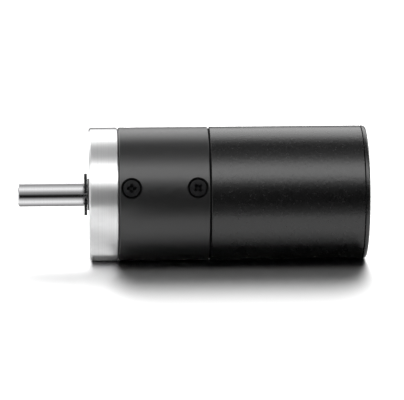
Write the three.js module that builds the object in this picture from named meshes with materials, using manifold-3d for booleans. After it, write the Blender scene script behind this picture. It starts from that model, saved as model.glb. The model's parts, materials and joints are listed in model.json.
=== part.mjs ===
// A 45 mm planetary gear motor: a brushed direct-current motor drives a two-stage planetary gearbox.
// Units are millimetres and +Z is up. The shaft axis is the X axis. x = 0 is the mounting face of the
// front flange, the output shaft points along -X and the motor's rear cap is at the +X end.
// Angles are measured about X, from +Y towards +Z.
import * as THREE from "three";
import { mergeVertices } from "three/addons/utils/BufferGeometryUtils.js";
import Module from "manifold-3d";

const wasm = await Module();
wasm.setup();

// ---------------------------------------------------------------- driving dimensions

const bodyRadius = 22.5;
const flangeSeam = 0.45; // the open gaps between neighbouring casing pieces
const middleSeam = 0.65;
const rearSeam = 0.3;
const fit = 0.15; // radial gap that stands in for a press or slide fit
const flangeLength = 9.55;
const housingLength = 30.05;
const motorTubeLength = 50.95;
const lipLength = 1.45;
const flangeSpigotEnd = 18; // the flange and the bell reach into the gearbox housing up to here
const bellStart = 32.3;
const housingWall = 3;
const motorTubeWall = 2;
const shaftRadius = 4;
const shaftReach = 23.9;
const rotorShaftRadius = 2.5;

const toothModule = 0.7;
const sunTeeth = 12;
const planetTeeth = 18;
const ringTeeth = sunTeeth + 2 * planetTeeth;
const planetCount = 3;
const pressureAngle = THREE.MathUtils.degToRad(20);
const toothThinning = 0.08; // taken off each tooth at the pitch line, which gives the backlash

const casingTurn = THREE.MathUtils.degToRad(-12.5); // the casing's screw rows are turned by this about X
const radialScrewCount = 4;
const flangeScrewX = 14.1;
const bellScrewX = 36.1;
const mountHoleCount = 4;
const mountHoleCircleRadius = 18;
const tieBoltCircleRadius = 17;

const wide = 32; // segments round a casing piece
const middling = 18; // segments round a shaft or a bearing
const small = 12; // segments round a screw or a pin

// ---------------------------------------------------------------- places along the axis

const housingStart = flangeLength + flangeSeam;
const housingEnd = housingStart + housingLength;
const tubeStart = housingEnd + middleSeam;
const tubeEnd = tubeStart + motorTubeLength;
const lipStart = tubeEnd + rearSeam;
const rearFace = lipStart + lipLength;
const bellEnd = tubeStart + 3.6;
const spigotRadius = bodyRadius - housingWall - fit;
const tubeInnerRadius = bodyRadius - motorTubeWall;
const capSpigotRadius = tubeInnerRadius - fit;

// ---------------------------------------------------------------- materials

function metal(color, roughness, metalness = 1) {
  return new THREE.MeshStandardMaterial({ color, roughness, metalness });
}

const machinedAluminium = metal(0xd9dadb, 0.32);
const blackAnodised = metal(0x26272a, 0.45, 0.4);
const blackPaint = metal(0x1d1e20, 0.55, 0.2);
const blackOxide = metal(0x18191b, 0.38, 0.7);
const groundSteel = metal(0xc4c6c9, 0.18);
const gearSteel = metal(0x8f9296, 0.35);
const bearingSteel = metal(0xb9bcc0, 0.15);
const blackDiecast = metal(0x202123, 0.5, 0.4);
const sinteredBronze = metal(0xa9773c, 0.55);
const coreSteel = metal(0x5b5e63, 0.5);
const enamelledCopper = metal(0xb4602c, 0.3);
const bareCopper = metal(0xc8794a, 0.3);
const springSteel = metal(0xa8aaad, 0.3);
const ferrite = metal(0x3a3b3e, 0.75, 0);
const carbon = metal(0x2b2b2c, 0.6, 0.1);
const phenolic = metal(0x3b2a1e, 0.65, 0);
const rubber = metal(0x151515, 0.85, 0);

// ---------------------------------------------------------------- shape helpers

// Maps an extrusion's own x, y and z to the part's Y, Z and X.
const alongX = new THREE.Matrix4().set(0, 0, 1, 0, 1, 0, 0, 0, 0, 1, 0, 0, 0, 0, 0, 1);

function signedArea(points) {
  return THREE.ShapeUtils.area(points.map(([x, radius]) => new THREE.Vector2(x, radius)));
}

// A solid of revolution about X. The profile is a list of [x, radius] corners: it either starts and
// ends on the axis, or it is closed round a bore.
function turned(profile, segments) {
  const ordered = signedArea(profile) < 0 ? profile : [...profile].reverse();
  const onAxis = ordered[0][1] === 0 && ordered[ordered.length - 1][1] === 0;
  const closed = onAxis ? ordered : [...ordered, ordered[0]];
  const points = closed.map(([x, radius]) => new THREE.Vector2(radius, x));
  return new THREE.LatheGeometry(points, segments).rotateZ(-Math.PI / 2);
}

// A washer or plain tube from start to end.
function tube(start, end, innerRadius, outerRadius, segments) {
  const corners = [
    [start, innerRadius],
    [start, outerRadius],
    [end, outerRadius],
    [end, innerRadius],
  ];
  return turned(corners, segments);
}

function rod(start, end, radius, segments) {
  return turned([[start, 0], [start, radius], [end, radius], [end, 0]], segments);
}

function polar(radius, angle) {
  return new THREE.Vector2(radius * Math.cos(angle), radius * Math.sin(angle));
}

function circle(radius, segments, centre = new THREE.Vector2()) {
  const turns = Array.from({ length: segments }, (_, i) => (i / segments) * 2 * Math.PI);
  return turns.map((angle) => polar(radius, angle).add(centre));
}

// Extrudes an outline in the Y-Z plane from x = start to x = end.
function prism(outline, start, end, holes = [], curveSegments = 6) {
  const shape = outline instanceof THREE.Shape ? outline : new THREE.Shape(outline);
  shape.holes.push(...holes.map((hole) => new THREE.Path(hole)));
  const options = { depth: end - start, bevelEnabled: false, curveSegments };
  return new THREE.ExtrudeGeometry(shape, options).applyMatrix4(alongX).translate(start, 0, 0);
}

function box(x, y, z) {
  const size = [x, y, z].map(([low, high]) => high - low);
  const middle = [x, y, z].map(([low, high]) => (low + high) / 2);
  return new THREE.BoxGeometry(...size).translate(...middle);
}

// Turns a shape that was made along X so that it points outwards at an angle about X.
function pointedOut(geometry, x, radius, angle) {
  return geometry.clone().rotateZ(Math.PI / 2).translate(x, radius, 0).rotateX(angle);
}

function solidOf(geometry) {
  const loose = geometry.index ? geometry.toNonIndexed() : geometry;
  const bare = new THREE.BufferGeometry();
  bare.setAttribute("position", loose.getAttribute("position"));
  const merged = mergeVertices(bare, 1e-3);
  const vertProperties = merged.attributes.position.array;
  const triVerts = new Uint32Array(merged.index.array);
  return new wasm.Manifold(new wasm.Mesh({ numProp: 3, vertProperties, triVerts }));
}

function geometryOf(solid) {
  const mesh = solid.getMesh();
  const geometry = new THREE.BufferGeometry();
  geometry.setAttribute("position", new THREE.BufferAttribute(mesh.vertProperties, 3));
  geometry.setIndex(new THREE.BufferAttribute(mesh.triVerts, 1));
  geometry.computeVertexNormals();
  return geometry;
}

function cut(body, tools) {
  const cutter = (solid, tool) => solid.subtract(solidOf(tool));
  return geometryOf(tools.reduce(cutter, solidOf(body)));
}

function join(pieces) {
  const [first, ...others] = pieces.map(solidOf);
  return geometryOf(others.reduce((solid, other) => solid.add(other), first));
}

function evenAngles(count, first = 0) {
  return Array.from({ length: count }, (_, i) => first + (i / count) * 2 * Math.PI);
}

// ---------------------------------------------------------------- gear teeth

const addendum = 0.8 * toothModule;
const dedendum = 1.05 * toothModule;
const pinCircleRadius = (toothModule * (sunTeeth + planetTeeth)) / 2;

// The angle that an involute has unwound through by the time it reaches a radius.
function unwound(radius, baseRadius) {
  const slope = Math.sqrt(Math.max(0, (radius / baseRadius) ** 2 - 1));
  return slope - Math.atan(slope);
}

// A gear outline with a tooth centred on angle 0. Each flank is straight between points of its
// involute. A ring gear's teeth are the spaces of an outline made with a negative thinning.
function toothed(teeth, innerRadius, outerRadius, thinning) {
  const pitchRadius = (toothModule * teeth) / 2;
  const baseRadius = pitchRadius * Math.cos(pressureAngle);
  const pitchHalfAngle = Math.PI / (2 * teeth) - thinning / (2 * pitchRadius);
  const halfAngle = (radius) =>
    pitchHalfAngle + unwound(pitchRadius, baseRadius) - unwound(radius, baseRadius);
  return evenAngles(teeth).flatMap((middle) => [
    polar(innerRadius, middle - halfAngle(innerRadius)),
    polar(outerRadius, middle - halfAngle(outerRadius)),
    polar(outerRadius, middle + halfAngle(outerRadius)),
    polar(innerRadius, middle + halfAngle(innerRadius)),
  ]);
}

function outerGear(teeth, start, end, boreRadius) {
  const pitchRadius = (toothModule * teeth) / 2;
  const outline = toothed(teeth, pitchRadius - dedendum, pitchRadius + addendum, toothThinning);
  return prism(outline, start, end, boreRadius ? [circle(boreRadius, small)] : []);
}

// ---------------------------------------------------------------- assembly helpers

const gearMotor = new THREE.Group();

function add(name, geometry, material) {
  const mesh = new THREE.Mesh(geometry, material);
  mesh.name = name;
  gearMotor.add(mesh);
  return mesh;
}

// Adds a piece whose own axis stands off the shaft axis by radius, at an angle about X.
function addOffAxis(name, geometry, material, radius, angle) {
  const mesh = add(name, geometry, material);
  mesh.position.set(0, radius * Math.cos(angle), radius * Math.sin(angle));
  mesh.rotation.x = angle;
  return mesh;
}

// ---------------------------------------------------------------- ball bearings

// Each bearing gives three pieces: the two races, with V-shaped tracks, and the balls in their cage.
function addBearing(name, start, width, boreRadius, outerRadius, ballCount) {
  const middle = start + width / 2;
  const end = start + width;
  const pitch = (boreRadius + outerRadius) / 2;
  const depth = outerRadius - boreRadius;
  const ballRadius = 0.28 * depth;
  const landGap = 0.2 * depth; // from the pitch circle to each race's land
  const trackGap = ballRadius + 0.15;
  const inner = [
    [start, boreRadius],
    [start, pitch - landGap],
    [middle, pitch - trackGap],
    [end, pitch - landGap],
    [end, boreRadius],
  ];
  const outer = [
    [start, outerRadius],
    [start, pitch + landGap],
    [middle, pitch + trackGap],
    [end, pitch + landGap],
    [end, outerRadius],
  ];
  const bandHalf = 0.09 * depth;
  const band = tube(middle - 0.8, middle + 0.8, pitch - bandHalf, pitch + bandHalf, middling);
  const ball = new THREE.IcosahedronGeometry(ballRadius);
  const balls = evenAngles(ballCount).map((angle) => {
    const at = polar(pitch, angle);
    return ball.clone().translate(middle, at.x, at.y);
  });
  add(`${name}_inner_race`, turned(inner, middling), bearingSteel);
  add(`${name}_outer_race`, turned(outer, middling), bearingSteel);
  add(`${name}_ball_cage`, join([band, ...balls]), bearingSteel);
}

// ---------------------------------------------------------------- casing of the gearbox

const bearingWidth = 5;
const outputBearingRadius = 8;
const frontBearingStart = 0.15;
const innerBearingStart = 7.35;
const bearingShoulder = [5.3, 7.2]; // the flange's inner rib between its two bearings
const flangeCavityStart = 13.4;
const flangeCavityRadius = 15.5;
const mountHoleRadius = 1.65;
const mountHoleDepth = 8;

const screwHeadRadius = 2.9;
const screwHeadSink = 0.4; // the head's face lies this far under the housing's surface
const screwShankRadius = 1.35;
const screwLength = 6;
const headPocketRadius = 3.55;
const headPocketDepth = 0.6;
const clearanceRadius = 1.75;
const tappedRadius = 1.55;
const screwAngles = evenAngles(radialScrewCount, casingTurn);

function tappedHoles(x, floorRadius) {
  const hole = rod(0, bodyRadius - floorRadius, tappedRadius, small);
  return screwAngles.map((angle) => pointedOut(hole, x, floorRadius, angle));
}

function addFrontFlange() {
  const bore = outputBearingRadius + fit;
  const profile = [
    [0, bore],
    [0, bodyRadius - 0.6],
    [0.6, bodyRadius],
    [flangeLength, bodyRadius],
    [flangeLength, spigotRadius],
    [flangeSpigotEnd, spigotRadius],
    [flangeSpigotEnd, flangeCavityRadius],
    [flangeCavityStart, flangeCavityRadius],
    [flangeCavityStart, bore],
    [bearingShoulder[1], bore],
    [bearingShoulder[1], bore - 1.2],
    [bearingShoulder[0], bore - 1.2],
    [bearingShoulder[0], bore],
  ];
  const mountHoles = evenAngles(mountHoleCount, casingTurn + Math.PI / 4).map((angle) => {
    const at = polar(mountHoleCircleRadius, angle);
    return rod(-1, mountHoleDepth, mountHoleRadius, small).translate(0, at.x, at.y);
  });
  const screwHoles = tappedHoles(flangeScrewX, flangeCavityRadius - 1);
  add("front_flange", cut(turned(profile, wide), [...mountHoles, ...screwHoles]), machinedAluminium);
}

function addGearboxHousing() {
  const shell = tube(housingStart, housingEnd, bodyRadius - housingWall, bodyRadius, wide);
  // A pocket for the screw's head, then a 90 degree cone down to the clearance hole.
  const pocketFloor = -headPocketDepth;
  const coneEnd = pocketFloor - (headPocketRadius - clearanceRadius);
  const countersink = turned(
    [
      [1, 0],
      [1, headPocketRadius],
      [pocketFloor, headPocketRadius],
      [coneEnd, clearanceRadius],
      [-housingWall - 1, clearanceRadius],
      [-housingWall - 1, 0],
    ],
    small,
  );
  const rows = [flangeScrewX, bellScrewX];
  const holes = rows.flatMap((x) =>
    screwAngles.map((angle) => pointedOut(countersink, x, bodyRadius, angle)),
  );
  add("gearbox_housing", cut(shell, holes), blackAnodised);
}

function addRadialScrews() {
  const land = 0.25;
  const profile = [
    [0, 0],
    [0, screwHeadRadius],
    [-land, screwHeadRadius],
    [-land - (screwHeadRadius - screwShankRadius), screwShankRadius],
    [-screwLength, screwShankRadius],
    [-screwLength, 0],
  ];
  const rows = { flange_screw: flangeScrewX, bell_screw: bellScrewX };
  for (const [name, x] of Object.entries(rows)) {
    screwAngles.forEach((angle, i) => {
      const mesh = add(`${name}_${i + 1}`, turned(profile, small), blackOxide);
      const at = polar(bodyRadius - screwHeadSink, angle);
      mesh.position.set(x, at.x, at.y);
      mesh.rotation.set(angle, 0, Math.PI / 2);
    });
  }
}

// ---------------------------------------------------------------- output shaft and its bearings

const ringStart = -1.53;
const ringEnd = -0.63;
const grooveRadius = 3.5;
const carrierStart = 14.65;
const carrierEnd = 17.85;
const carrierRadius = 14.5;
const outputPinRadius = 2;

function addOutputShaft() {
  const tip = -shaftReach;
  const shoulderStart = 12.5;
  const seatRadius = 4.5;
  const profile = [
    [tip + 0.8, 0],
    [tip, 0.8],
    [tip, shaftRadius - 0.4],
    [tip + 0.4, shaftRadius],
    [ringStart - fit, shaftRadius],
    [ringStart - fit, grooveRadius],
    [ringEnd + fit, grooveRadius],
    [ringEnd + fit, shaftRadius],
    [shoulderStart, shaftRadius],
    [shoulderStart, 5.5],
    [carrierStart - fit, 5.5],
    [carrierStart - fit, seatRadius],
    [carrierEnd - fit, seatRadius],
    [carrierEnd - fit, 0],
  ];
  add("output_shaft", turned(profile, middling), groundSteel);
  const pins = evenAngles(planetCount).map((angle) => polar(pinCircleRadius, angle));
  const holes = [
    circle(seatRadius + fit, middling),
    ...pins.map((centre) => circle(outputPinRadius + fit, small, centre)),
  ];
  add("output_carrier", prism(circle(carrierRadius, wide), carrierStart, carrierEnd, holes), gearSteel);
}

// A snap ring whose mouth faces -Y. Its inner edge bears on the groove at the back and beside the
// mouth, and is relieved between.
function addRetainingRing() {
  const outerRadius = 7.05;
  const innerRadius = grooveRadius + fit;
  const reliefRadius = 4.7;
  const mouthHalfWidth = 1.7;
  const outerMouth = Math.PI - Math.asin(mouthHalfWidth / outerRadius);
  const innerMouth = Math.PI - Math.asin(mouthHalfWidth / innerRadius);
  const [reliefStart, reliefEnd] = [35, 100].map(THREE.MathUtils.degToRad);
  const shape = new THREE.Shape();
  shape.absarc(0, 0, outerRadius, -outerMouth, outerMouth, false);
  shape.absarc(0, 0, innerRadius, innerMouth, reliefEnd, true);
  shape.absarc(0, 0, reliefRadius, reliefEnd, reliefStart, true);
  shape.absarc(0, 0, innerRadius, reliefStart, -reliefStart, true);
  shape.absarc(0, 0, reliefRadius, -reliefStart, -reliefEnd, true);
  shape.absarc(0, 0, innerRadius, -reliefEnd, -innerMouth, true);
  shape.closePath();
  add("retaining_ring", prism(shape, ringStart, ringEnd, [], 4), blackOxide);
}

function addOutputBearings() {
  addBearing("front_bearing", frontBearingStart, bearingWidth, shaftRadius + fit, outputBearingRadius, 7);
  addBearing("inner_bearing", innerBearingStart, bearingWidth, shaftRadius + fit, outputBearingRadius, 7);
  const spacerStart = frontBearingStart + bearingWidth + fit;
  const spacerEnd = innerBearingStart - fit;
  add("bearing_spacer", tube(spacerStart, spacerEnd, shaftRadius + fit, 5.2, middling), groundSteel);
  const washer = tube(ringEnd + 0.1, frontBearingStart - 0.1, shaftRadius + fit, 5.35, middling);
  add("thrust_washer", washer, springSteel);
}

// ---------------------------------------------------------------- gear train

const ringGearStart = flangeSpigotEnd + 0.3;
const ringGearEnd = 31.3;
const outputPlanet = { start: 18.3, end: 23.5, pinRadius: outputPinRadius };
const inputCarrier = { start: 24.3, end: 26.3, radius: 14.5 };
const inputPlanet = { start: 26.7, end: 31, pinRadius: 1.5 };
const sunHubRadius = 3.3;

function addRingGear() {
  const pitchRadius = (toothModule * ringTeeth) / 2;
  const teeth = toothed(ringTeeth, pitchRadius - addendum, pitchRadius + dedendum, -toothThinning);
  add("ring_gear", prism(circle(spigotRadius, wide), ringGearStart, ringGearEnd, [teeth]), gearSteel);
}

// Planets and their pins. Each planet has a tooth pointing straight outwards into a ring-gear space.
function addPlanets(stage, planet, pinStart) {
  evenAngles(planetCount).forEach((angle, i) => {
    const gear = outerGear(planetTeeth, planet.start, planet.end, planet.pinRadius + fit);
    const pin = rod(pinStart, planet.end + 0.3, planet.pinRadius, small);
    addOffAxis(`${stage}_planet_${i + 1}`, gear, gearSteel, pinCircleRadius, angle);
    addOffAxis(`${stage}_planet_pin_${i + 1}`, pin, groundSteel, pinCircleRadius, angle);
  });
}

function addOutputStage() {
  addPlanets("output", outputPlanet, carrierStart + 0.2);
  const halfPitch = Math.PI / sunTeeth;
  const teeth = outerGear(sunTeeth, outputPlanet.start + 0.2, inputCarrier.start - 0.2).rotateX(halfPitch);
  const hub = rod(outputPlanet.start + 1, inputCarrier.end, sunHubRadius, middling);
  add("output_sun_gear", join([teeth, hub]), gearSteel);
}

function addInputStage() {
  addPlanets("input", inputPlanet, inputCarrier.start + 0.2);
  const pins = evenAngles(planetCount).map((angle) => polar(pinCircleRadius, angle));
  const holes = [
    circle(sunHubRadius + fit, middling),
    ...pins.map((centre) => circle(inputPlanet.pinRadius + fit, small, centre)),
  ];
  const plate = prism(circle(inputCarrier.radius, wide), inputCarrier.start, inputCarrier.end, holes);
  add("input_carrier", plate, gearSteel);
  const halfPitch = Math.PI / sunTeeth;
  const pinion = outerGear(sunTeeth, inputPlanet.start, bellStart + 0.7, rotorFrontRadius + fit);
  add("motor_pinion", pinion.rotateX(halfPitch), gearSteel);
  add("thrust_plate", tube(ringGearEnd + 0.3, bellStart - 0.2, 5.6, spigotRadius, wide), springSteel);
}

// ---------------------------------------------------------------- motor

const rotorFrontRadius = 2;
const motorBearingStart = 38.7;
const motorBearingRadius = 7;
const bellBoreRadius = 5.5;
const tieBolt = { shank: 1.5, head: 2.75, headStart: 91, headEnd: 93.2, start: 41.5 };
const tieBoltAngles = [0, Math.PI];
const coreStart = 50.3;
const coreEnd = 72.3;
const coreRadius = 14.2;
const poleCount = 9;
const commutator = { start: 78, end: 86, radius: 5.2 };
const brushX = [80.3, 84.7];
const brushHalfWidth = 1.7;
const brushTop = 11.3;
const guideTop = 17;
const holderPlate = [86.4, 87.8];
const bushRadius = 4.9;
const capInnerFace = 88.2;

function onTieBoltCircle(geometry) {
  return tieBoltAngles.map((angle) => {
    const at = polar(tieBoltCircleRadius, angle);
    return geometry.clone().translate(0, at.x, at.y);
  });
}

function addMotorFrontBell() {
  const seat = motorBearingRadius + fit;
  const stepX = housingEnd + middleSeam / 2;
  const seatStart = motorBearingStart - 0.2;
  const profile = [
    [bellStart, bellBoreRadius],
    [bellStart, spigotRadius],
    [stepX, spigotRadius],
    [stepX, capSpigotRadius],
    [bellEnd, capSpigotRadius],
    [bellEnd, seat],
    [seatStart, seat],
    [seatStart, bellBoreRadius],
  ];
  const boltHoles = onTieBoltCircle(rod(tieBolt.start - 1, bellEnd + 1, tieBolt.shank + fit, small));
  const screwHoles = tappedHoles(bellScrewX, bodyRadius - screwHeadSink - screwLength - 0.5);
  add("motor_front_bell", cut(turned(profile, wide), [...boltHoles, ...screwHoles]), blackDiecast);
}

function addMotorShell() {
  add("motor_tube", tube(tubeStart, tubeEnd, tubeInnerRadius, bodyRadius, wide), blackPaint);
  const halfSpan = THREE.MathUtils.degToRad(75);
  const sides = { magnet_upper: Math.PI / 2, magnet_lower: -Math.PI / 2 };
  for (const [name, middle] of Object.entries(sides)) {
    const arc = new THREE.Shape();
    arc.absarc(0, 0, tubeInnerRadius - 0.2, middle - halfSpan, middle + halfSpan, false);
    arc.absarc(0, 0, 15.2, middle + halfSpan, middle - halfSpan, true);
    arc.closePath();
    add(name, prism(arc, 47, 77), ferrite);
  }
}

const leadHole = { z: 13, radius: 3.35, rimRadius: 4.6, rimDepth: 1 };

function addRearCap() {
  const pocketRadius = bushRadius + fit;
  const pocketEnd = 92.4;
  const edge = 0.5;
  const profile = [
    [pocketEnd, 0],
    [pocketEnd, pocketRadius],
    [capInnerFace, pocketRadius],
    [capInnerFace, capSpigotRadius],
    [lipStart, capSpigotRadius],
    [lipStart, bodyRadius],
    [rearFace - edge, bodyRadius],
    [rearFace, bodyRadius - edge],
    [rearFace, 0],
  ];
  const headPocket = rod(tieBolt.headStart - fit, rearFace + 1, tieBolt.head + 0.25, small);
  const boltHole = rod(capInnerFace - 1, rearFace, tieBolt.shank + 0.25, small);
  const leadBore = rod(capInnerFace - 1, rearFace + 1, leadHole.radius, small);
  const leadRim = rod(rearFace - leadHole.rimDepth, rearFace + 1, leadHole.rimRadius, small);
  const tools = [
    ...onTieBoltCircle(headPocket),
    ...onTieBoltCircle(boltHole),
    leadBore.translate(0, 0, leadHole.z),
    leadRim.translate(0, 0, leadHole.z),
  ];
  add("rear_cap", cut(turned(profile, wide), tools), blackPaint);
  const bush = tube(capInnerFace + 0.3, pocketEnd - 0.3, rotorShaftRadius + fit, bushRadius, middling);
  add("rear_bush", bush, sinteredBronze);
}

function addLeadGrommet() {
  const rim = rearFace - leadHole.rimDepth + fit;
  const profile = [
    [capInnerFace + 0.2, 0],
    [capInnerFace + 0.2, leadHole.radius - fit],
    [rim, leadHole.radius - fit],
    [rim, leadHole.rimRadius - fit],
    [rearFace - 0.1, leadHole.rimRadius - fit],
    [rearFace - 0.1, 0],
  ];
  const leads = [-1.4, 1.4].map((y) => rod(capInnerFace - 1, rearFace + 1, 0.9, 8).translate(0, y, 0));
  const grommet = cut(turned(profile, small), leads).translate(0, 0, leadHole.z);
  add("lead_grommet", grommet, rubber);
}

function addTieBolts() {
  const profile = [
    [tieBolt.start, 0],
    [tieBolt.start, tieBolt.shank],
    [tieBolt.headStart, tieBolt.shank],
    [tieBolt.headStart, tieBolt.head],
    [tieBolt.headEnd, tieBolt.head],
    [tieBolt.headEnd, 0],
  ];
  onTieBoltCircle(turned(profile, small)).forEach((bolt, i) => {
    add(`tie_bolt_${i + 1}`, bolt, blackOxide);
  });
}

// The laminated core: T-shaped poles on a hub.
function coreOutline() {
  const hubRadius = 6;
  const stemHalf = 1.6;
  const shoeInner = 12.6;
  const slotMouthHalf = 1;
  const shoeHalf = Math.PI / poleCount - Math.asin(slotMouthHalf / coreRadius);
  const stemFoot = Math.sqrt(hubRadius ** 2 - stemHalf ** 2);
  const half = [
    new THREE.Vector2(stemFoot, stemHalf),
    new THREE.Vector2(shoeInner - 0.7, stemHalf),
    polar(shoeInner, shoeHalf),
    polar(coreRadius, shoeHalf),
    polar(coreRadius, shoeHalf / 3),
  ];
  const mirrored = [...half].map(({ x, y }) => new THREE.Vector2(x, -y));
  const pole = [...mirrored, ...half.reverse()];
  const origin = new THREE.Vector2();
  return evenAngles(poleCount).flatMap((angle) =>
    pole.map((point) => point.clone().rotateAround(origin, angle)),
  );
}

// The winding: a bulging ring of end turns at each face of the core, joined through the slots.
function windingGeometry() {
  const clear = 0.15;
  const reach = 4.1;
  const ring = (face, away) =>
    turned(
      [
        [face + away * clear, 3.4],
        [face + away * clear, 12.3],
        [face + away * (reach - 1), 12],
        [face + away * reach, 10.4],
        [face + away * reach, 4.6],
        [face + away * (reach - 1), 3.4],
      ],
      2 * poleCount,
    );
  const bar = [
    [7, -0.4],
    [11.6, -1.95],
    [11.6, 1.95],
    [7, 0.4],
  ].map(([x, y]) => new THREE.Vector2(x, y));
  const origin = new THREE.Vector2();
  const bars = evenAngles(poleCount, Math.PI / poleCount).map((angle) => {
    const outline = bar.map((point) => point.clone().rotateAround(origin, angle));
    return prism(outline, coreStart - 0.3, coreEnd + 0.3);
  });
  return join([ring(coreStart, -1), ring(coreEnd, 1), ...bars]);
}

function commutatorGeometry() {
  const slotHalf = 0.25;
  const slotFloor = commutator.radius - 0.7;
  const bar = Math.PI / poleCount;
  const outline = evenAngles(poleCount).flatMap((angle) => [
    polar(slotFloor, angle - bar + slotHalf / slotFloor),
    polar(commutator.radius, angle - bar + slotHalf / commutator.radius),
    polar(commutator.radius, angle),
    polar(commutator.radius, angle + bar - slotHalf / commutator.radius),
    polar(slotFloor, angle + bar - slotHalf / slotFloor),
  ]);
  const bore = circle(rotorShaftRadius + fit, small);
  return prism(outline, commutator.start, commutator.end, [bore]);
}

function addRotor() {
  const stepX = 36;
  const shaft = [
    [inputPlanet.start, 0],
    [inputPlanet.start, rotorFrontRadius],
    [stepX, rotorFrontRadius],
    [stepX, rotorShaftRadius],
    [91.9, rotorShaftRadius],
    [91.9, 0],
  ];
  add("rotor_shaft", turned(shaft, small), groundSteel);
  const bore = circle(rotorShaftRadius + fit, small);
  add("armature_core", prism(coreOutline(), coreStart, coreEnd, [bore]), coreSteel);
  add("armature_winding", windingGeometry(), enamelledCopper);
  add("commutator", commutatorGeometry(), bareCopper);
}

function addMotorBearing() {
  addBearing("motor_bearing", motorBearingStart, bearingWidth, rotorShaftRadius + fit, motorBearingRadius, 7);
}

// ---------------------------------------------------------------- brush gear

function springGeometry() {
  const turns = 4;
  const coilRadius = 1.25;
  const bottom = brushTop + 0.45;
  const top = guideTop - 1.2;
  const middleX = (brushX[0] + brushX[1]) / 2;
  class Helix extends THREE.Curve {
    getPoint(t, target = new THREE.Vector3()) {
      const at = polar(coilRadius, t * turns * 2 * Math.PI);
      return target.set(middleX + at.x, at.y, bottom + t * (top - bottom));
    }
  }
  const wire = new THREE.Shape(circle(0.25, 4));
  const options = { steps: turns * 8, extrudePath: new Helix(), bevelEnabled: false };
  return new THREE.ExtrudeGeometry(wire, options);
}

function addBrushGear() {
  const holes = [
    circle(6, middling),
    ...tieBoltAngles.map((angle) => circle(1.9, small, polar(tieBoltCircleRadius, angle))),
  ];
  const plate = prism(circle(19.5, wide), ...holderPlate, holes);
  const guideHalf = 2.9;
  const guide = box([79.2, holderPlate[0] + 0.2], [-guideHalf, guideHalf], [6.3, guideTop]);
  const slide = 0.2;
  const channel = box(
    [brushX[0] - slide, brushX[1] + slide],
    [-brushHalfWidth - slide, brushHalfWidth + slide],
    [5, guideTop - 0.8],
  );
  const upsideDown = (geometry) => geometry.clone().rotateX(Math.PI);
  const holder = join([plate, guide, upsideDown(guide)]);
  add("brush_holder", cut(holder, [channel, upsideDown(channel)]), phenolic);
  const brush = box(brushX, [-brushHalfWidth, brushHalfWidth], [commutator.radius + 0.15, brushTop]);
  const spring = springGeometry();
  add("brush_upper", brush, carbon);
  add("brush_lower", upsideDown(brush), carbon);
  add("brush_spring_upper", spring, springSteel);
  add("brush_spring_lower", upsideDown(spring), springSteel);
}

// ---------------------------------------------------------------- the whole gear motor

addFrontFlange();
addGearboxHousing();
addRadialScrews();
addOutputShaft();
addRetainingRing();
addOutputBearings();
addRingGear();
addOutputStage();
addInputStage();
addMotorFrontBell();
addMotorShell();
addMotorBearing();
addRearCap();
addLeadGrommet();
addTieBolts();
addRotor();
addBrushGear();

export default gearMotor;
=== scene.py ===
import json
from math import asin, atan, cos, pi, radians, sin, sqrt, tau

import bmesh
import bpy
from mathutils import Matrix, Vector
from mathutils.geometry import tessellate_polygon


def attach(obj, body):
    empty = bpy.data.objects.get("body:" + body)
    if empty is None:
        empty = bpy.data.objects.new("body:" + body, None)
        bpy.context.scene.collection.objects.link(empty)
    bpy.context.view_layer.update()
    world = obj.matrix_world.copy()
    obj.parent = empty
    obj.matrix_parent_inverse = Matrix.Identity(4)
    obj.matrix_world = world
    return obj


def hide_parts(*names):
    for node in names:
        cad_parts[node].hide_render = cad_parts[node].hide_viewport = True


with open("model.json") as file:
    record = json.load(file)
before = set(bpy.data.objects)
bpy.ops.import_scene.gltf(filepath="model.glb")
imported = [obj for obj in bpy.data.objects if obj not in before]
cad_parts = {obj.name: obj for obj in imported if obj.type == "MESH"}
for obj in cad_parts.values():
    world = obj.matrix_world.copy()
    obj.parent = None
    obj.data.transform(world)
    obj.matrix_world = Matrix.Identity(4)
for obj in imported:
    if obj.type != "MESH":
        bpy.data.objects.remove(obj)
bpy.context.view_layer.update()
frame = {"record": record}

# A 45 mm planetary gear motor on a white table. Lengths are in millimetres up to the section on
# table, lights and camera, and a piece is scaled to metres as its mesh is made. The shaft axis is
# the X axis, and x = 0 is the flange's mounting face. Angles are about X, from +Y towards +Z.

BODY_OF = {
    node: body
    for body, nodes in frame["record"]["behaviour"]["bodies"].items()
    for node in nodes
}
SLOT_OF = {entry["node"]: entry["material_slot"] for entry in frame["record"]["subparts"]}
MM = 0.001

# ---------------------------------------------------------------- dimensions, as in the CAD model

BODY_R = 22.5
FLANGE_END = 9.55
HOUSING = (10, 40.05)
HOUSING_BORE_R = 19.5
MOTOR_TUBE = (40.7, 91.65)
MOTOR_TUBE_BORE_R = 20.5
MOTOR_SPIGOT_R = 20.35
CAP_LIP = (91.95, 93.4)
SPIGOT_R = 19.35
FLANGE_SPIGOT_END = 18
MOUNT_CIRCLE_R = 18
BELL_START = 32.3
SHAFT_R = 4
SHAFT_TIP = -23.9
OUTPUT_BORE_R = 4.15
ROTOR_BORE_R = 2.65
BEARING_WIDTH = 5
FRONT_BEARING_START = 0.15
INNER_BEARING_START = 7.35
MOTOR_BEARING_START = 38.7
CASING_TURN = radians(-12.5)
FLANGE_SCREW_X = 14.1
BELL_SCREW_X = 36.1
SCREW_SINK = 0.4
SCREW_SHANK_R = 1.35
SCREW_LENGTH = 6
PLANETS = 3
PIN_CIRCLE_R = 10.5
OUTPUT_PIN_R = 2
INPUT_PIN_R = 1.5
CARRIER_R = 14.5
RING_GEAR = (18.3, 31.3)
OUTPUT_PLANETS = (18.3, 23.5)
INPUT_PLANETS = (26.7, 31)
TOOTH_MODULE = 0.7
SUN_TEETH = 12
PLANET_TEETH = 18
RING_TEETH = 48
TIE_BOLT_CIRCLE_R = 17
TIE_BOLT_ANGLES = (0, pi)
MAGNETS = (47, 77)
POLES = 9
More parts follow.
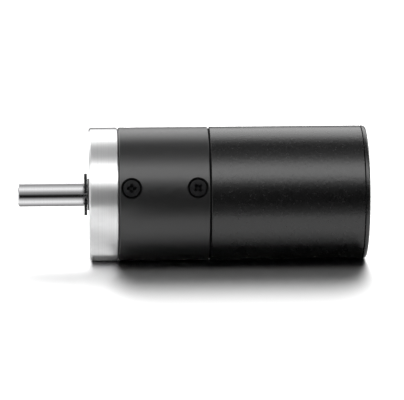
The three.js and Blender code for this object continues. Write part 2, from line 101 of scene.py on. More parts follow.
CORE = (50.3, 72.3)
CORE_R = 14.2
COMMUTATOR = (78, 86)
COMMUTATOR_R = 5.2
GROMMET_Z = 13

# ---------------------------------------------------------------- mesh helpers

# Edges that turn by less than this angle, in degrees, are shaded smooth.
SMOOTH_BELOW = 30


def evenly(count, first=0.0):
    return [first + tau * i / count for i in range(count)]


def polar(radius, angle):
    return Vector((radius * cos(angle), radius * sin(angle)))


def circle(radius, count, centre=(0, 0)):
    return [polar(radius, angle) + Vector(centre) for angle in evenly(count)]


def arc(radius, start, end, count):
    return [polar(radius, start + (end - start) * i / count) for i in range(count + 1)]


def softened(corners):
    """Rounds each corner that gives a third number, the length it takes from each side."""
    steps = 4
    points = []
    for i, (x, radius, *reach) in enumerate(corners):
        here = Vector((x, radius))
        if not reach:
            points.append(here)
            continue
        before = Vector(corners[i - 1][:2])
        after = Vector(corners[(i + 1) % len(corners)][:2])
        start = here + (before - here).normalized() * reach[0]
        end = here + (after - here).normalized() * reach[0]
        for k in range(steps + 1):
            t = k / steps
            points.append(start.lerp(here, t).lerp(here.lerp(end, t), t))
    return points


def bridge(bm, first, second):
    """Joins two closed rings of vertices with faces. A ring of one vertex is a point."""
    count = max(len(first), len(second))
    for i in range(count):
        j = (i + 1) % count
        around = [
            first[i % len(first)],
            first[j % len(first)],
            second[j % len(second)],
            second[i % len(second)],
        ]
        bm.faces.new(list(dict.fromkeys(around)))


def lathe(corners, segments, bm=None):
    """A solid of revolution about X from [x, radius] corners. They start and end on the axis, or
    close round a bore."""
    bm = bm or bmesh.new()
    rings = []
    for x, radius in softened(corners):
        angles = evenly(segments) if radius > 0 else [0]
        rings.append([bm.verts.new((x, *polar(radius, angle))) for angle in angles])
    for first, second in zip(rings, rings[1:]):
        bridge(bm, first, second)
    if len(rings[0]) > 1:
        bridge(bm, rings[-1], rings[0])
    return bm


def inset(outline, distance):
    """Moves an outline into the material on its left by a distance."""
    points = []
    for i, here in enumerate(outline):
        back = (here - outline[i - 1]).normalized()
        ahead = (outline[(i + 1) % len(outline)] - here).normalized()
        left = Vector((-back.y - ahead.y, back.x + ahead.x)).normalized()
        slope = left.dot(Vector((-back.y, back.x)))
        points.append(here + left * distance / max(slope, 0.5))
    return points


def winding(outline):
    """Above 0 for an outline that runs from +Y towards +Z, and below 0 for the other way."""
    pairs = zip(outline, outline[1:] + outline[:1])
    return sum(a.x * b.y - b.x * a.y for a, b in pairs)


def plate(outline, start, end, chamfer, holes=()):
    """An outline in the Y-Z plane, with holes, made solid from x = start to x = end. All its edges
    are chamfered."""
    bm = bmesh.new()
    layers = [(start, chamfer), (start + chamfer, 0), (end - chamfer, 0), (end, chamfer)]
    loops = []
    for k, loop in enumerate([outline, *holes]):
        points = [Vector(point) for point in loop]
        if (winding(points) > 0) != (k == 0):
            points.reverse()
        rings = [
            [bm.verts.new((x, *point)) for point in inset(points, distance)]
            for x, distance in layers
        ]
        for first, second in zip(rings, rings[1:]):
            bridge(bm, first, second)
        loops.append(rings)
    for side in (0, -1):
        vertices = [vertex for rings in loops for vertex in rings[side]]
        flat = [[Vector((v.co.y, v.co.z, 0)) for v in rings[side]] for rings in loops]
        for triangle in tessellate_polygon(flat):
            bm.faces.new([vertices[i] for i in triangle])
    return bm


def block(x, y, z, bm=None):
    """A box with rounded edges between the limits given for each axis."""
    bm = bm or bmesh.new()
    bevel = 0.2
    centre = [(low + high) / 2 for low, high in (x, y, z)]
    size = [high - low for low, high in (x, y, z)]
    place = Matrix.Translation(centre) @ Matrix.Diagonal((*size, 1))
    made = bmesh.ops.create_cube(bm, size=1, matrix=place)["verts"]
    edges = list({edge for vertex in made for edge in vertex.link_edges})
    bmesh.ops.bevel(bm, geom=edges, offset=bevel, segments=2, affect="EDGES", profile=0.5)
    return bm


def sweep(path, radius, sides=8, closed=False, bm=None):
    """A round wire along a list of points."""
    bm = bm or bmesh.new()
    count = len(path)
    rings = []
    up = Vector((0.3, 0.5, 0.8))
    for i, here in enumerate(path):
        before = path[i - 1] if closed or i else here
        after = path[(i + 1) % count] if closed or i < count - 1 else here
        along = (after - before).normalized()
        up = (up - along * up.dot(along)).normalized()
        across = along.cross(up)
        ring = [here + (up * cos(a) + across * sin(a)) * radius for a in evenly(sides)]
        rings.append([bm.verts.new(point) for point in ring])
    for first, second in zip(rings, rings[1:]):
        bridge(bm, first, second)
    if closed:
        bridge(bm, rings[-1], rings[0])
    else:
        bm.faces.new(rings[0])
        bm.faces.new(rings[-1])
    return bm


def smooth(mesh, below=SMOOTH_BELOW):
    mesh.shade_smooth()
    mesh.set_sharp_from_angle(angle=radians(below))


def made_object(name, bm, smooth_below=SMOOTH_BELOW):
    """Makes an object from a shape, which it uses up."""
    bmesh.ops.recalc_face_normals(bm, faces=bm.faces)
    mesh = bpy.data.meshes.new(name)
    bm.to_mesh(mesh)
    bm.free()
    mesh.transform(Matrix.Scale(MM, 4))
    smooth(mesh, smooth_below)
    piece = bpy.data.objects.new(name, mesh)
    bpy.context.scene.collection.objects.link(piece)
    return piece


def cut(piece, tools):
    """Takes each tool, a shape, out of a piece."""
    cutters = [made_object("cutter", tool) for tool in tools]
    for cutter in cutters:
        modifier = piece.modifiers.new("cut", "BOOLEAN")
        modifier.object = cutter
        modifier.solver = "EXACT"
    graph = bpy.context.evaluated_depsgraph_get()
    mesh = bpy.data.meshes.new_from_object(piece.evaluated_get(graph))
    piece.modifiers.clear()
    piece.data = mesh
    smooth(mesh)
    for cutter in cutters:
        bpy.data.objects.remove(cutter)
    return piece


def moved(bm, matrix):
    bmesh.ops.transform(bm, matrix=matrix, verts=bm.verts)
    return bm


def beside(radius, angle, x=0.0):
    """The matrix that moves a shape from the shaft axis to a place beside it."""
    return Matrix.Translation((x, *polar(radius, angle)))


def pointed_out(x, radius, angle):
    """The matrix that turns a shape made along X to point outwards from the shaft axis."""
    turn = Matrix.Rotation(angle, 4, "X")
    return turn @ Matrix.Translation((x, radius, 0)) @ Matrix.Rotation(pi / 2, 4, "Z")


# ---------------------------------------------------------------- materials


class Nodes:
    """A node tree and short ways to add nodes to it."""

    def __init__(self, tree):
        self.tree = tree

    def node(self, kind, inputs=(), **settings):
        """Adds a node. Each input takes a value or another node's output."""
        node = self.tree.nodes.new(kind)
        for key, value in settings.items():
            setattr(node, key, value)
        for key, value in dict(inputs).items():
            if isinstance(value, bpy.types.NodeSocket):
                self.tree.links.new(value, node.inputs[key])
            else:
                node.inputs[key].default_value = value
        return node

    def math(self, operation, first, second):
        return self.node("ShaderNodeMath", {0: first, 1: second}, operation=operation).outputs[0]

    def parts(self, vector):
        return self.node("ShaderNodeSeparateXYZ", {0: vector}).outputs

    def between(self, value, low, high, start, end):
        """Maps start to low and end to high. Values beyond the two are held at them."""
        inputs = {"Value": value, "From Min": start, "From Max": end, "To Min": low, "To Max": high}
        return self.node("ShaderNodeMapRange", inputs).outputs[0]

    def greys(self, value, profile):
        """Grey levels along a value from 0 to 1. Returns a colour, scaled so that the highest level
        is white, and that level."""
        highest = max(level for _, level in profile)
        ramp = self.node("ShaderNodeValToRGB", {0: value})
        stops = ramp.color_ramp.elements
        while len(stops) < len(profile):
            stops.new(0.5)
        for stop, (place, level) in zip(stops, profile):
            stop.position = place
            stop.color = (*[level / highest] * 3, 1)
        return ramp.outputs["Color"], highest

    def strips(self, way, profile):
        """Grey levels by a vector's angle about the X axis, in degrees: 0 is -Y and 90 is up."""
        parts = self.parts(way)
        angle = self.math("ARCTAN2", parts["Z"], self.math("MULTIPLY", parts["Y"], -1))
        stops = [((degrees + 180) / 360, level) for degrees, level in profile]
        return self.greys(self.between(angle, 0, 1, -pi, pi), stops)

    def show(self, shader, output="Material Output"):
        self.tree.links.new(shader, self.tree.nodes[output].inputs["Surface"])


class Shading(Nodes):
    """A material, and ways to vary its shader over a surface."""

    def __init__(self, name, color, metallic, roughness, **values):
        self.material = bpy.data.materials.new(name)
        self.material.use_nodes = True
        super().__init__(self.material.node_tree)
        self.shader = self.tree.nodes["Principled BSDF"]
        settings = {"Base Color": (*color, 1), "Metallic": metallic, "Roughness": roughness}
        for key, value in {**settings, **values}.items():
            self.shader.inputs[key].default_value = value
        self.color = color
        self.roughness = roughness

    def feed(self, key, value):
        self.tree.links.new(value, self.shader.inputs[key])
        return self

    def place(self):
        return self.node("ShaderNodeTexCoord").outputs["Object"]

    def noise(self, scale, detail=3.0):
        inputs = {"Vector": self.place(), "Scale": scale, "Detail": detail}
        return self.node("ShaderNodeTexNoise", inputs).outputs["Fac"]

    def turning(self, marks_per_mm):
        """Fine rings left by a lathe tool: noise over the distance along the tool's path."""
        parts = self.parts(self.place())
        radial = self.node("ShaderNodeCombineXYZ", {1: parts[1], 2: parts[2]}).outputs[0]
        radius = self.node("ShaderNodeVectorMath", {0: radial}, operation="LENGTH").outputs["Value"]
        travel = self.math("ADD", parts[0], self.math("MULTIPLY", radius, 0.8))
        inputs = {"W": travel, "Scale": marks_per_mm / MM, "Detail": 2.0}
        return self.node("ShaderNodeTexNoise", inputs, noise_dimensions="1D").outputs["Fac"]

    def tint(self, value, dark, light):
        """Varies the base colour between two shades."""
        mix = self.node("ShaderNodeMix", data_type="RGBA")
        self.tree.links.new(value, mix.inputs["Factor"])
        first, second = (socket for socket in mix.inputs if socket.type == "RGBA")
        first.default_value = (*[c * dark for c in self.color], 1)
        second.default_value = (*[c * light for c in self.color], 1)
        output = next(socket for socket in mix.outputs if socket.type == "RGBA")
        return self.feed("Base Color", output)

    def stretch_across_rings(self):
        tangent = self.node("ShaderNodeTangent", direction_type="RADIAL", axis="X").outputs[0]
        self.shader.inputs["Anisotropic Rotation"].default_value = 0.25
        return self.feed("Tangent", tangent)

    def vary_roughness(self, noise, spread):
        low, high = self.roughness - spread, self.roughness + spread
        return self.feed("Roughness", self.between(noise, low, high, 0.3, 0.7))

    def bump(self, height, depth_mm):
        inputs = {"Height": height, "Distance": depth_mm * MM, "Strength": 1.0}
        return self.feed("Normal", self.node("ShaderNodeBump", inputs).outputs[0])


def turned_metal(name, color, roughness, marks_per_mm, depth_mm, stretch):
    """Metal with fine rings about the X axis, which stretch its highlights along that axis."""
    look = Shading(name, color, 1.0, roughness, Anisotropic=stretch)
    rings = look.turning(marks_per_mm)
    look.stretch_across_rings()
    return look.bump(rings, depth_mm).vary_roughness(look.noise(900), 0.06).tint(rings, 0.93, 1.04)


def plain_metal(name, color, roughness, grain_scale, depth_mm):
    look = Shading(name, color, 1.0, roughness)
    grain = look.noise(grain_scale, 4)
    return look.bump(grain, depth_mm).vary_roughness(grain, 0.08).tint(look.noise(120), 0.85, 1.08)


def dull(name, color, roughness, grain_scale, depth_mm, specular=0.5):
    look = Shading(name, color, 0.0, roughness, **{"Specular IOR Level": specular})
    grain = look.noise(grain_scale, 5)
    return look.bump(grain, depth_mm).vary_roughness(grain, 0.06).tint(grain, 0.75, 1.3)


def black_anodised():
    look = Shading("black_anodised", (0.006, 0.006, 0.0062), 0.0, 0.32, IOR=1.62)
    rings = look.turning(1.6)
    look.bump(rings, 0.0012).tint(rings, 0.8, 1.2)
    return look.vary_roughness(look.noise(800), 0.03)


def black_paint():
    look = Shading("black_paint", (0.002, 0.002, 0.0021), 0.0, 0.25, IOR=1.6)
    grain = look.noise(1000, 2)
    return look.bump(grain, 0.03).vary_roughness(grain, 0.03).tint(grain, 0.7, 1.4)


def black_oxide():
    look = Shading("black_oxide", (0.006, 0.006, 0.0065), 0.0, 0.35, **{"Specular IOR Level": 0.18})
    grain = look.noise(900, 4)
    return look.bump(grain, 0.008).vary_roughness(grain, 0.08).tint(grain, 0.7, 1.5)


def laminated_steel():
    """Steel sheets half a millimetre thick, stacked along X."""
    look = Shading("core_steel", (0.22, 0.23, 0.25), 1.0, 0.42)
    thickness = 0.5 * MM
    along = look.parts(look.place())[0]
    sheets = look.math("PINGPONG", look.math("MULTIPLY", along, 1 / thickness), 0.5)
    edges = look.between(sheets, 0.0, 1.0, 0.02, 0.16)
    return look.bump(edges, 0.08).tint(edges, 0.35, 1.05).vary_roughness(look.noise(400), 0.08)


# Colour, roughness, rings per mm, their depth in mm, and how far highlights are stretched.
TURNED = {
    "machined_aluminium": ((0.86, 0.862, 0.865), 0.4, 1.6, 0.002, 1.0),
    "ground_steel": ((0.72, 0.72, 0.73), 0.13, 3, 0.0002, 0.9),
    "bearing_steel": ((0.66, 0.66, 0.67), 0.16, 8, 0.001, 0.5),
    "bare_copper": ((0.72, 0.34, 0.2), 0.28, 6, 0.004, 0.5),
}
# Colour, roughness, scale of the grain and its depth in mm.
PLAIN = {
    "gear_steel": ((0.42, 0.42, 0.43), 0.32, 900, 0.01),
    "sintered_bronze": ((0.5, 0.3, 0.12), 0.45, 1600, 0.03),
    "enamelled_copper": ((0.62, 0.2, 0.07), 0.24, 300, 0.01),
    "spring_steel": ((0.11, 0.11, 0.113), 0.3, 700, 0.004),
}
# The same, and a specular level where it isn't the usual one.
DULL = {
    # black_diecast is a near black that hardly reflects. Black is the motor bell's own colour, and
    # its dimness also paints the shade in the seam between gearbox and motor, where the bell shows.
    "black_diecast": ((0.004, 0.004, 0.0041), 0.7, 500, 0.02, 0.05),
    "ferrite": ((0.035, 0.035, 0.038), 0.6, 800, 0.03),
    "carbon": ((0.02, 0.02, 0.021), 0.5, 1500, 0.02),
    "phenolic": ((0.07, 0.035, 0.018), 0.5, 600, 0.02),
    "rubber": ((0.012, 0.012, 0.012), 0.7, 1200, 0.02),
}
LOOKS = {
    "black_anodised": black_anodised(),
    "black_paint": black_paint(),
    "black_oxide": black_oxide(),
    "core_steel": laminated_steel(),
}
for make_look, settings in ((turned_metal, TURNED), (plain_metal, PLAIN), (dull, DULL)):
    for slot, values in settings.items():
        LOOKS[slot] = make_look(slot, *values)

# ---------------------------------------------------------------- from shape to piece


def stand_for(node, piece, place=Matrix.Identity(4)):
    """Gives a piece its material, and puts it on a CAD node's body in that node's stead."""
    slot = SLOT_OF[node]
    piece.name = f"{node}_detail"
    piece.data.materials.clear()
    piece.data.materials.append(LOOKS[slot].material)
    shift = place.copy()
    shift.translation *= MM
    piece.matrix_world = shift
    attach(piece, BODY_OF[node])
    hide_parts(node)


def add(node, bm, place=Matrix.Identity(4), smooth_below=SMOOTH_BELOW):
    stand_for(node, made_object(node, bm, smooth_below), place)


def threaded(start, end, radius, pitch=0.7, depth=0.35):
    """Profile corners of a thread, drawn as a row of grooves between crests at the radius."""
    turns = int((end - start) / pitch)
    corners = []
    for i in range(turns):
        x = start + i * pitch
        corners.append((x, radius - depth))
        corners.append((x + pitch / 2, radius))
    return corners


# ---------------------------------------------------------------- casing

SCREW_ANGLES = evenly(4, CASING_TURN)


def radial_tapped_holes(x, floor):
    """Tools for a row of tapped holes from outside the body down to a radius, the floor."""
    mouth = BODY_R + 1
    thread = threaded(floor, BODY_R, SCREW_SHANK_R + 0.2)
    corners = [(floor, 0), *thread, (mouth, 1.5), (mouth, 0)]
    return [moved(lathe(corners, 24), pointed_out(x, 0, angle)) for angle in SCREW_ANGLES]


def add_front_flange():
    bore = 8.15
    shoulder = bore - 1.2
    recess = 15.5
    recess_floor = 13.4
    corners = [
        (0, bore, 0.25),
        (0, BODY_R - 0.6, 0.1),
        (0.6, BODY_R, 0.1),
        (FLANGE_END - 0.16, BODY_R, 0.04),
        (FLANGE_END + 0.2, BODY_R - 0.7),
        (FLANGE_END + 0.2, SPIGOT_R),
        (FLANGE_SPIGOT_END, SPIGOT_R, 0.3),
        (FLANGE_SPIGOT_END, recess, 0.3),
        (recess_floor, recess),
        (recess_floor, bore, 0.25),
        (7.2, bore),
        (7.2, shoulder, 0.15),
        (5.3, shoulder, 0.15),
        (5.3, bore),
    ]
    piece = made_object("front_flange", lathe(corners, 256))
    mount_hole = [
        (-1, 0),
        (-1, 3.2),
        (0.45, 1.75),
        *threaded(0.5, 8, 2.0),
        (8, 1.65),
        (8.9, 0),
    ]
    tools = [
        moved(lathe(mount_hole, 40), beside(MOUNT_CIRCLE_R, angle))
        for angle in evenly(4, CASING_TURN + pi / 4)
    ]
    tools += radial_tapped_holes(FLANGE_SCREW_X, 14.5)
    stand_for("front_flange", cut(piece, tools))


def add_gearbox_housing():
    start, end = HOUSING
    corners = [
        (start - 0.21, HOUSING_BORE_R, 0.3),
        (start - 0.16, BODY_R - 0.7),
        (start + 0.05, BODY_R, 0.4),
        (end, BODY_R, 0.3),
        (end, HOUSING_BORE_R, 0.3),
    ]
    piece = made_object("gearbox_housing", lathe(corners, 256))
    countersink = [(1, 0), (1, 3.55), (-0.6, 3.55), (-2.4, 1.75), (-4, 1.75), (-4, 0)]
    tools = [
        moved(lathe(countersink, 64), pointed_out(x, BODY_R, angle))
        for x in (FLANGE_SCREW_X, BELL_SCREW_X)
        for angle in SCREW_ANGLES
    ]
    stand_for("gearbox_housing", cut(piece, tools))


def cross_recess(reach, half_width, depth):
    """The tool for a cross-head recess: a cross that narrows towards its floor."""
    bm = bmesh.new()
    rings = []
    for x, scale in ((0.3, 1.12), (0, 1.0), (-depth * 0.75, 0.52), (-depth, 0.3)):
        arm = reach * scale
        side = half_width * (0.45 + 0.55 * scale)
        quarter = [(arm, side * 0.8), (side * 1.35, side * 1.35), (side * 0.8, arm)]
        ring = []
        for turn in evenly(4):
            c, s = cos(turn), sin(turn)
            ring += [bm.verts.new((x, y * c - z * s, y * s + z * c)) for y, z in quarter]
        rings.append(ring)
    for first, second in zip(rings, rings[1:]):
        bridge(bm, first, second)
    bm.faces.new(rings[0])
    bm.faces.new(rings[-1])
    return bm


def countersunk_screw():
    head_r = 2.78
    corners = [
        (0, 0),
        (0, head_r, 0.2),
        (-0.3, head_r, 0.06),
        (-1.85, 1.35),
        (-2.2, 1.2),
        *[(-x, r) for x, r in threaded(2.3, SCREW_LENGTH - 0.3, 1.45, pitch=0.5, depth=0.27)],
        (-SCREW_LENGTH + 0.1, 1.1),
        (-SCREW_LENGTH, 0.9),
        (-SCREW_LENGTH, 0),
    ]
    piece = made_object("screw", lathe(corners, 48))
    return cut(piece, [cross_recess(reach=1.6, half_width=0.5, depth=1.7)])


def add_radial_screws():
    """Two rows of screws. Each row has its place and the turn of each cross, in degrees."""
    rows = {
        "flange_screw": (FLANGE_SCREW_X, (20, 65, 0, 35)),
        "bell_screw": (BELL_SCREW_X, (55, 10, 42, 80)),
    }
    pattern = countersunk_screw()
    for name, (x, crosses) in rows.items():
        for i, (angle, cross) in enumerate(zip(SCREW_ANGLES, crosses)):
            piece = pattern.copy()
            piece.data = pattern.data.copy()
            bpy.context.scene.collection.objects.link(piece)
            place = pointed_out(x, BODY_R - SCREW_SINK, angle)
            stand_for(f"{name}_{i + 1}", piece, place @ Matrix.Rotation(radians(cross), 4, "X"))
    bpy.data.objects.remove(pattern)


# ---------------------------------------------------------------- output shaft and bearings


def add_carrier(node, start, end, chamfer, bore_r, pin_r):
    holes = [circle(bore_r, 48)]
    holes += [circle(pin_r + 0.15, 32, polar(PIN_CIRCLE_R, angle)) for angle in evenly(PLANETS)]
    add(node, plate(circle(CARRIER_R, 128), start, end, chamfer, holes))


def add_output_shaft():
    groove_r = 3.5
    collar_r = 5.5
    corners = [
        (SHAFT_TIP + 1.9, 0),
        (SHAFT_TIP + 0.55, 0.75),
        (SHAFT_TIP, 1.35, 0.1),
        (SHAFT_TIP, SHAFT_R - 0.4, 0.06),
        (SHAFT_TIP + 0.4, SHAFT_R, 0.06),
        (-1.72, SHAFT_R, 0.04),
        (-1.72, groove_r),
        (-0.48, groove_r),
        (-0.48, SHAFT_R, 0.04),
        (12.5, SHAFT_R),
        (12.5, collar_r, 0.2),
        (14.5, collar_r, 0.2),
        (14.5, 4.5),
        (17.7, 4.5, 0.3),
        (17.7, 0),
    ]
    add("output_shaft", lathe(corners, 128))
    add_carrier("output_carrier", 14.65, 17.85, chamfer=0.3, bore_r=4.65, pin_r=OUTPUT_PIN_R)


def add_retaining_ring():
    """A snap ring whose mouth faces -Y, relieved inside between the three lands that grip."""
    outer_r, inner_r, relief_r = 7.05, 3.6, 4.7
    half_mouth = 1.7
    outer_mouth = pi - asin(half_mouth / outer_r)
    inner_mouth = pi - asin(half_mouth / inner_r)
    near, far = radians(35), radians(100)
    outline = [
        *arc(outer_r, -outer_mouth, outer_mouth, 72),
        *arc(inner_r, inner_mouth, far, 8),
        *arc(relief_r, far, near, 16),
        *arc(inner_r, near, -near, 16),
        *arc(relief_r, -near, -far, 16),
        *arc(inner_r, -far, -inner_mouth, 8),
    ]
    add("retaining_ring", plate(outline, -1.6, -0.62, 0.03))


def race_groove(middle, pitch, ball_r, side):
    """The profile of a race's ball track: side is -1 on the inner race and 1 on the outer."""
    steps = 10
    reach = radians(48)
    track_r = ball_r * 1.06
    angles = [-reach + 2 * reach * i / steps for i in range(steps + 1)]
    return [(middle + track_r * sin(a), pitch + side * track_r * cos(a)) for a in angles]


def add_bearing(name, start, bore_r, outer_r):
    middle = start + BEARING_WIDTH / 2
    end = start + BEARING_WIDTH
    pitch = (bore_r + outer_r) / 2
    depth = outer_r - bore_r
    ball_r = 0.28 * depth
    land = 0.2 * depth
    inner = [
        (start, bore_r, 0.2),
        (start, pitch - land, 0.08),
        *race_groove(middle, pitch, ball_r, -1),
        (end, pitch - land, 0.08),
        (end, bore_r, 0.2),
    ]
    outer = [
        (start, outer_r, 0.25),
        (start, pitch + land, 0.08),
        *race_groove(middle, pitch, ball_r, 1),
        (end, pitch + land, 0.08),
        (end, outer_r, 0.25),
    ]
    add(f"{name}_inner_race", lathe(inner, 96))
    add(f"{name}_outer_race", lathe(outer, 96))
    add(f"{name}_ball_cage", ball_cage(middle, pitch, ball_r))


def ball_cage(middle, pitch, ball_r):
    """Balls in a ribbon cage: two wavy pressed rings that meet between the balls."""
    bm = bmesh.new()
    count = 7
    for angle in evenly(count):
        place = beside(pitch, angle, middle)
        bmesh.ops.create_icosphere(bm, subdivisions=3, radius=ball_r, matrix=place)
    half_band = 0.28 * ball_r
    sheet = 0.16
    play = 0.05
    least_bulge = 0.04
    steps = 24 * count
    for side in (-1, 1):
        rings = []
        for i in range(steps):
            angle = tau * i / steps
            offset = pitch * ((angle + pi / count) % (tau / count) - pi / count)
            bulge = sqrt(max(0, (ball_r + play) ** 2 - offset**2))
            near = middle + side * max(bulge, least_bulge)
            far = near + side * sheet
            low, high = (polar(pitch + k * half_band, angle) for k in (-1, 1))
            corners = [(near, *low), (near, *high), (far, *high), (far, *low)]
            rings.append([bm.verts.new(corner) for corner in corners])
        for first, second in zip(rings, rings[1:] + rings[:1]):
            bridge(bm, first, second)
    return bm


def add_output_bearings():
    bore = OUTPUT_BORE_R
    add_bearing("front_bearing", FRONT_BEARING_START, bore, outer_r=8)
    add_bearing("inner_bearing", INNER_BEARING_START, bore, outer_r=8)
    spacer = [(5.3, bore, 0.15), (5.3, 5.2, 0.15), (7.2, 5.2, 0.15), (7.2, bore, 0.15)]
    washer = [(-0.53, bore), (-0.53, 5.35, 0.1), (0.05, 5.35, 0.1), (0.05, bore)]
    add("bearing_spacer", lathe(spacer, 96))
    add("thrust_washer", lathe(washer, 96))


# ---------------------------------------------------------------- gear train

PRESSURE_ANGLE = radians(20)
ADDENDUM = 0.8 * TOOTH_MODULE
DEDENDUM = 1.05 * TOOTH_MODULE
BACKLASH = 0.08


def unwound(radius, base_r):
    """The angle by which an involute has come round at a radius."""
    slope = sqrt(max(0, (radius / base_r) ** 2 - 1))
    return slope - atan(slope)


def toothed(teeth, inwards, outwards, thinning):
    """An involute gear outline with a tooth centred on angle 0. It reaches inwards and outwards
    from the pitch circle."""
    steps = 5
    pitch_r = TOOTH_MODULE * teeth / 2
    base_r = pitch_r * cos(PRESSURE_ANGLE)
    pitch_half = pi / (2 * teeth) - thinning / (2 * pitch_r)
    flank = []
    for i in range(steps + 1):
        radius = pitch_r - inwards + (inwards + outwards) * i / steps
        flank.append((radius, pitch_half + unwound(pitch_r, base_r) - unwound(radius, base_r)))
    outline = []
    for middle in evenly(teeth):
        outline += [polar(radius, middle - half) for radius, half in flank]
        outline += [polar(radius, middle + half) for radius, half in reversed(flank)]
    return outline


def outer_gear(teeth, start, end, *bores):
    outline = toothed(teeth, DEDENDUM, ADDENDUM, BACKLASH)
    return plate(outline, start, end, 0.1, [circle(bore_r, 48) for bore_r in bores])


def add_ring_gear():
    teeth = toothed(RING_TEETH, ADDENDUM, DEDENDUM, -BACKLASH)
    add("ring_gear", plate(circle(SPIGOT_R, 192), *RING_GEAR, 0.15, [teeth]))


def add_planets(stage, start, end, pin_start, pin_r):
    for i, angle in enumerate(evenly(PLANETS)):
        place = beside(PIN_CIRCLE_R, angle) @ Matrix.Rotation(angle, 4, "X")
        gear = outer_gear(PLANET_TEETH, start, end, pin_r + 0.15)
        pin = [(pin_start, 0), (pin_start, pin_r, 0.25), (end + 0.3, pin_r, 0.25), (end + 0.3, 0)]
        add(f"{stage}_planet_{i + 1}", gear, place)
        add(f"{stage}_planet_pin_{i + 1}", lathe(pin, 48), place)


def add_gear_train():
    add_ring_gear()
    add_planets("output", *OUTPUT_PLANETS, pin_start=14.85, pin_r=OUTPUT_PIN_R)
    add_planets("input", *INPUT_PLANETS, pin_start=24.5, pin_r=INPUT_PIN_R)
    half_pitch = Matrix.Rotation(pi / SUN_TEETH, 4, "X")
    sun = moved(outer_gear(SUN_TEETH, 18.5, 24.1), half_pitch)
    hub = [(19.5, 0), (19.5, 3.3), (26.3, 3.3, 0.25), (26.3, 0)]
    add("output_sun_gear", lathe(hub, 96, sun))
    add_carrier("input_carrier", 24.3, 26.3, chamfer=0.25, bore_r=3.45, pin_r=INPUT_PIN_R)
    add("motor_pinion", moved(outer_gear(SUN_TEETH, 26.7, 33, 2.15), half_pitch))
    add("thrust_plate", plate(circle(SPIGOT_R, 192), 31.6, 32.1, 0.1, [circle(5.6, 96)]))


# ---------------------------------------------------------------- motor


def at_tie_bolts(corners, segments):
    """A shape at each tie bolt, from its profile."""
    return [
        moved(lathe(corners, segments), beside(TIE_BOLT_CIRCLE_R, angle))
        for angle in TIE_BOLT_ANGLES
    ]


def add_motor_front_bell():
    rim_r = BODY_R - 0.55
    seat_r = 7.15
    corners = [
        (BELL_START, 5.5, 0.3),
        (BELL_START, SPIGOT_R, 0.4),
        (40.08, SPIGOT_R),
        (40.08, rim_r),
        (40.67, rim_r),
        (40.67, MOTOR_SPIGOT_R),
        (44.3, MOTOR_SPIGOT_R, 0.3),
        (44.3, seat_r, 0.3),
        (38.5, seat_r),
        (38.5, 5.5, 0.2),
    ]
    piece = made_object("motor_front_bell", lathe(corners, 192))
    bolt_hole = [(40.5, 0), *threaded(40.5, 44.6, 1.65), (44.6, 1.65), (44.6, 0)]
    tools = at_tie_bolts(bolt_hole, 32) + radial_tapped_holes(BELL_SCREW_X, 15.6)
    stand_for("motor_front_bell", cut(piece, tools))


def add_motor_shell():
    start, end = MOTOR_TUBE
    corners = [
        (start, MOTOR_TUBE_BORE_R, 0.2),
        (start, BODY_R, 0.12),
        (end - 0.05, BODY_R, 0.04),
        (end + 0.14, BODY_R - 0.4),
        (end + 0.14, MOTOR_TUBE_BORE_R, 0.2),
    ]
    add("motor_tube", lathe(corners, 256))
    half_span = radians(75)
    for node, middle in (("magnet_upper", pi / 2), ("magnet_lower", -pi / 2)):
        outline = arc(20.3, middle - half_span, middle + half_span, 48)
        outline += arc(15.2, middle + half_span, middle - half_span, 48)
        add(node, plate(outline, *MAGNETS, 0.5))


def add_rear_cap():
    start, end = CAP_LIP
    seat_r = 5.05
    corners = [
        (92.4, 0),
        (92.4, seat_r),
        (88.2, seat_r, 0.3),
        (88.2, MOTOR_SPIGOT_R, 0.4),
        (start - 0.14, MOTOR_SPIGOT_R),
        (start - 0.14, BODY_R - 0.4),
        (start + 0.05, BODY_R, 0.04),
        (end, BODY_R, 1.0),
        (end, 0),
    ]
    piece = made_object("rear_cap", lathe(corners, 256))
    ledge, mouth = end - 1, end + 1
    head_pocket = [(90.85, 0), (90.85, 3), (end, 3), (mouth, 4), (mouth, 0)]
    bolt_hole = [(87, 0), (87, 1.75), (92, 1.75), (92, 0)]
    lead_hole = [(87, 0), (87, 3.35), (ledge, 3.35), (ledge, 4.6), (mouth, 4.6), (mouth, 0)]
    tools = at_tie_bolts(head_pocket, 48) + at_tie_bolts(bolt_hole, 48)
    tools.append(moved(lathe(lead_hole, 64), beside(GROMMET_Z, pi / 2)))
    stand_for("rear_cap", cut(piece, tools))
    bore = ROTOR_BORE_R
    bush = [(88.5, bore, 0.3), (88.5, 4.9, 0.3), (92.1, 4.9, 0.3), (92.1, bore, 0.3)]
    add("rear_bush", lathe(bush, 96))


def add_lead_grommet():
    end = CAP_LIP[1]
    flange_r = 4.45
    corners = [
        (88.4, 0),
        (88.4, 3.2, 0.2),
        (end - 0.85, 3.2),
        (end - 0.85, flange_r, 0.15),
        (end - 0.1, flange_r, 0.35),
        (end - 0.1, 0),
    ]
    piece = made_object("lead_grommet", lathe(corners, 64))
    lead = [(87, 0), (87, 0.9), (end - 0.5, 0.9), (end, 1.25), (end, 0)]
    tools = [moved(lathe(lead, 32), Matrix.Translation((0, y, 0))) for y in (-1.4, 1.4)]
    place = Matrix.Translation((0, 0, GROMMET_Z))
    stand_for("lead_grommet", cut(piece, tools), place)


